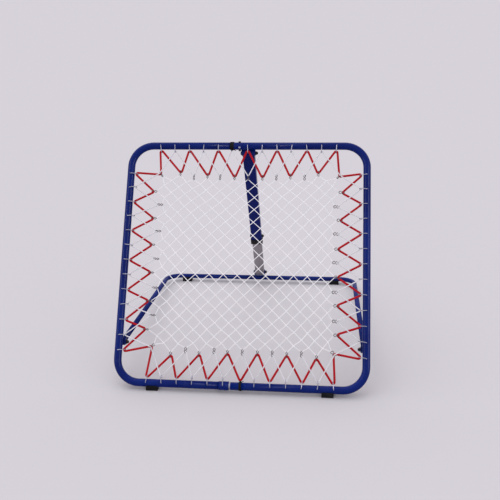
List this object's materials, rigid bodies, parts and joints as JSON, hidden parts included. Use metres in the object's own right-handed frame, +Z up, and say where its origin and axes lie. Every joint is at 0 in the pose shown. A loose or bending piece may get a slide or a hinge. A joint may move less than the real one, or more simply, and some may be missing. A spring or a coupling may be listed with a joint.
{
  "type": "rebound net frame",
  "caption": "Square tube frame leaning back with an elastic-hung rebound net, held up by a hinged U base and a telescopic strut, so thrown balls bounce back.",
  "frame": {"origin": "on the floor, at the middle of the footprint", "axes": "+X across the frame to the right seen from the front, +Y from the net to the rear base, +Z up"},
  "size_m": [1, 0.9604, 0.8389],
  "materials": {
    "blue_paint": "glossy powder coat",
    "zinc": "bright zinc plate",
    "black_steel": "black zinc plate",
    "black_plastic": "moulded, satin",
    "grey_steel": "grey metallic paint",
    "grey_plastic": "moulded, satin",
    "black_cord": "wound cord",
    "red_elastic": "braided sheath over rubber",
    "white_elastic": "braided sheath over rubber",
    "net_twine": "knotted twine",
    "foot_rubber": "moulded rubber"
  },
  "bodies": {
    "front_frame": {"frame_tube_left": "blue_paint", "frame_tube_right": "blue_paint", "bottom_joint_sleeve": "blue_paint", "top_bracket": "blue_paint", "pivot_lug_left": "blue_paint", "pivot_lug_right": "blue_paint", "top_joint_spigot": "zinc", "bottom_joint_spigot": "zinc", "top_joint_bolt": "black_steel", "top_joint_nut": "black_steel", "top_cord_band": "black_cord", "bottom_cord_band": "black_cord", "red_elastic": "red_elastic", "white_elastic": "white_elastic", "net": "net_twine", "top_pivot_bolt": "black_steel", "top_pivot_nut": "black_steel", "pivot_bolt_left": "black_steel", "pivot_bolt_right": "black_steel", "pivot_nut_left": "black_steel", "pivot_nut_right": "black_steel", "front_foot_left": "foot_rubber", "front_foot_right": "foot_rubber", "front_foot_screw_left": "zinc", "front_foot_screw_right": "zinc"},
    "base": {"base_tube_left": "blue_paint", "base_tube_right": "blue_paint", "arm_plug_left": "black_plastic", "arm_plug_right": "black_plastic", "rear_joint_spigot": "zinc", "strut_foot_bracket": "blue_paint", "foot_pivot_bolt": "black_steel", "foot_pivot_nut": "black_steel", "rear_foot_left": "foot_rubber", "rear_foot_right": "foot_rubber", "rear_foot_screw_left": "zinc", "rear_foot_screw_right": "zinc"},
    "strut_upper": {"strut_outer_tube": "blue_paint", "strut_top_cap": "black_plastic", "strut_collar": "black_plastic", "clamp_bolt": "black_steel"},
    "strut_lower": {"strut_inner_tube": "grey_steel", "strut_foot": "grey_plastic"},
    "top_button": {"top_snap_button": "zinc", "top_button_spring": "zinc"},
    "rear_button": {"rear_snap_button": "zinc", "rear_button_spring": "zinc"},
    "clamp_nut": {"clamp_nut": "black_steel"}
  },
  "joints": [
    {"name": "base_fold", "type": "hinge", "parent": "front_frame", "child": "base", "pos_m": [0, -0.34468, 0.13454], "axis": [1, 0, 0], "range_deg": [-3, 17]},
    {"name": "strut_swing", "type": "hinge", "parent": "front_frame", "child": "strut_upper", "pos_m": [0, 0.1168, 0.78314], "axis": [1, 0, 0], "range_deg": [-1.7, 9.3]},
    {"name": "strut_slide", "type": "slide", "parent": "strut_upper", "child": "strut_lower", "axis": [0, 0.4359, -0.9], "range_m": [-0.2145, 0.0382]},
    {"name": "top_button_press", "type": "slide", "parent": "front_frame", "child": "top_button", "axis": [0, 0.9848, 0.1736], "range_m": [0, 0.003], "stiffness_N_per_m": 600},
    {"name": "rear_button_press", "type": "slide", "parent": "base", "child": "rear_button", "axis": [0, 0.8415, -0.5403], "range_m": [0, 0.0027], "stiffness_N_per_m": 600},
    {"name": "clamp_nut_turn", "type": "hinge", "parent": "strut_upper", "child": "clamp_nut", "pos_m": [0, 0.34608, 0.30974], "axis": [1, 0, 0], "continuous": true}
  ],
  "couplings": [
    {"joint": "strut_swing", "follows": "base_fold", "ratio": 0.5344},
    {"joint": "strut_slide", "follows": "base_fold", "m_per_rad": -0.7221}
  ]
}
